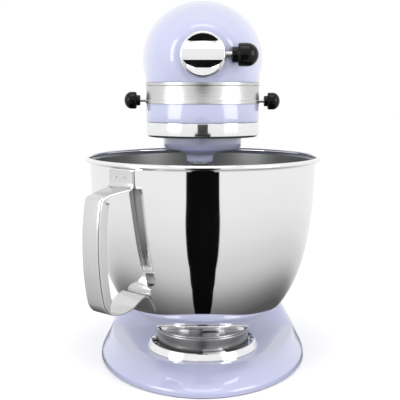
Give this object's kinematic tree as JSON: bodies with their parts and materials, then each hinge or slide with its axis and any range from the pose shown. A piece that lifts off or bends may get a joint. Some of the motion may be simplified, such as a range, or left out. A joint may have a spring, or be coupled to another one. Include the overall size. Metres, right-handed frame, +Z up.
{
  "type": "stand mixer",
  "caption": "Tilt-head stand mixer with planetary beater drive, attachment hub and twist-lock steel bowl with a strap handle.",
  "frame": {"origin": "centre of the footprint, on the surface the feet stand on", "axes": "+Z up; -Y is the front, where the attachment hub faces; +X is the viewer's right from the front"},
  "size_m": [0.221, 0.3608, 0.3528],
  "materials": {
    "paint": "gloss",
    "trim": "brushed",
    "chrome": "polished",
    "bowl_steel": "polished outside, brushed inside",
    "handle_steel": "satin",
    "rubber": "matte",
    "black_plastic": "gloss",
    "fan_plastic": "matte",
    "cast_metal": "as cast",
    "laminated_iron": "laminated",
    "copper": "drawn",
    "brass": "turned",
    "carbon": "matte",
    "nylon": "satin",
    "board": "matte",
    "plain_steel": "machined"
  },
  "bodies": {
    "base": {"base_casting": "paint", "pedestal": "paint", "rubber_feet": "rubber", "pedestal_bolts": "plain_steel", "bowl_clamp_plate": "chrome", "clamp_plate_screws": "plain_steel", "hinge_pin": "plain_steel", "pin_set_screw": "plain_steel", "height_adjust_screw": "plain_steel"},
    "motor_head": {"upper_housing": "paint", "lower_gearcase": "paint", "trim_band": "trim", "rear_cover": "paint", "rear_cover_screw": "plain_steel", "housing_screws": "plain_steel", "drip_ring": "chrome", "ring_gear": "plain_steel", "center_bush": "brass", "hub_sleeve": "chrome", "hub_cover_pin": "plain_steel", "motor_stator": "laminated_iron", "stator_windings": "copper", "front_bearing_bracket": "cast_metal", "rear_bearing_bracket": "cast_metal", "motor_bearings": "plain_steel", "brush_holders": "brass", "carbon_brushes": "carbon", "brush_caps": "black_plastic", "gear_bearing_block": "cast_metal", "speed_control_board": "board", "cord_gland": "black_plastic"},
    "armature": {"motor_shaft": "plain_steel", "armature_core": "laminated_iron", "commutator": "copper", "cooling_fan": "fan_plastic"},
    "worm_gear": {"worm_wheel": "nylon", "worm_wheel_shaft": "plain_steel", "drive_pinion": "plain_steel"},
    "planetary": {"center_shaft": "plain_steel", "center_gear": "plain_steel", "center_bevel_gear": "plain_steel", "planetary_housing": "paint"},
    "beater": {"beater_shaft": "chrome", "planet_pinion": "plain_steel", "beater_cross_pin": "chrome"},
    "hub_drive": {"hub_shaft": "plain_steel", "hub_bevel_gear": "plain_steel"},
    "hub_cover": {"hub_cover": "chrome"},
    "attachment_knob": {"attachment_knob": "black_plastic", "attachment_knob_screw": "plain_steel"},
    "speed_lever": {"speed_lever_rod": "plain_steel", "speed_lever_knob": "black_plastic"},
    "lock_lever": {"lock_lever_rod": "plain_steel", "lock_lever_knob": "black_plastic"},
    "bowl": {"bowl_shell": "bowl_steel", "bowl_foot": "bowl_steel", "bowl_handle": "handle_steel"}
  },
  "joints": [
    {"name": "head_tilt", "type": "hinge", "parent": "base", "child": "motor_head", "pos_m": [0, 0.083, 0.218], "axis": [-1, 0, 0], "range_deg": [0, 50]},
    {"name": "armature_spin", "type": "hinge", "parent": "motor_head", "child": "armature", "pos_m": [0, 0.073, 0.292], "axis": [0, 1, 0], "continuous": true},
    {"name": "worm_gear_spin", "type": "hinge", "parent": "motor_head", "child": "worm_gear", "pos_m": [0.026, -0.01127, 0.27], "axis": [0, 0, 1], "continuous": true},
    {"name": "planetary_spin", "type": "hinge", "parent": "motor_head", "child": "planetary", "pos_m": [0, -0.067, 0.22], "axis": [0, 0, 1], "continuous": true},
    {"name": "beater_spin", "type": "hinge", "parent": "planetary", "child": "beater", "pos_m": [-0.00251, -0.09087, 0.2], "axis": [0, 0, 1], "continuous": true},
    {"name": "hub_drive_spin", "type": "hinge", "parent": "motor_head", "child": "hub_drive", "pos_m": [0, -0.092, 0.2953], "axis": [0, 1, 0], "continuous": true},
    {"name": "hub_cover_flip", "type": "hinge", "parent": "motor_head", "child": "hub_cover", "pos_m": [0, -0.1248, 0.3133], "axis": [-1, 0, 0], "range_deg": [0, 110]},
    {"name": "attachment_knob_turn", "type": "hinge", "parent": "motor_head", "child": "attachment_knob", "pos_m": [0.03, -0.1235, 0.2953], "axis": [1, 0, 0], "range_deg": [0, 720]},
    {"name": "speed_lever_slide", "type": "slide", "parent": "motor_head", "child": "speed_lever", "axis": [0, 1, 0], "range_m": [0, 0.03]},
    {"name": "lock_lever_slide", "type": "slide", "parent": "motor_head", "child": "lock_lever", "axis": [0, 1, 0], "range_m": [0, 0.012]},
    {"name": "bowl_turn", "type": "hinge", "parent": "base", "child": "bowl", "pos_m": [0, -0.067, 0.03], "axis": [0, 0, 1], "range_deg": [0, 30]}
  ],
  "couplings": [
    {"joint": "worm_gear_spin", "follows": "armature_spin", "ratio": 0.025},
    {"joint": "planetary_spin", "follows": "armature_spin", "ratio": -0.014423},
    {"joint": "beater_spin", "follows": "armature_spin", "ratio": 0.040064},
    {"joint": "hub_drive_spin", "follows": "armature_spin", "ratio": 0.021635}
  ]
}
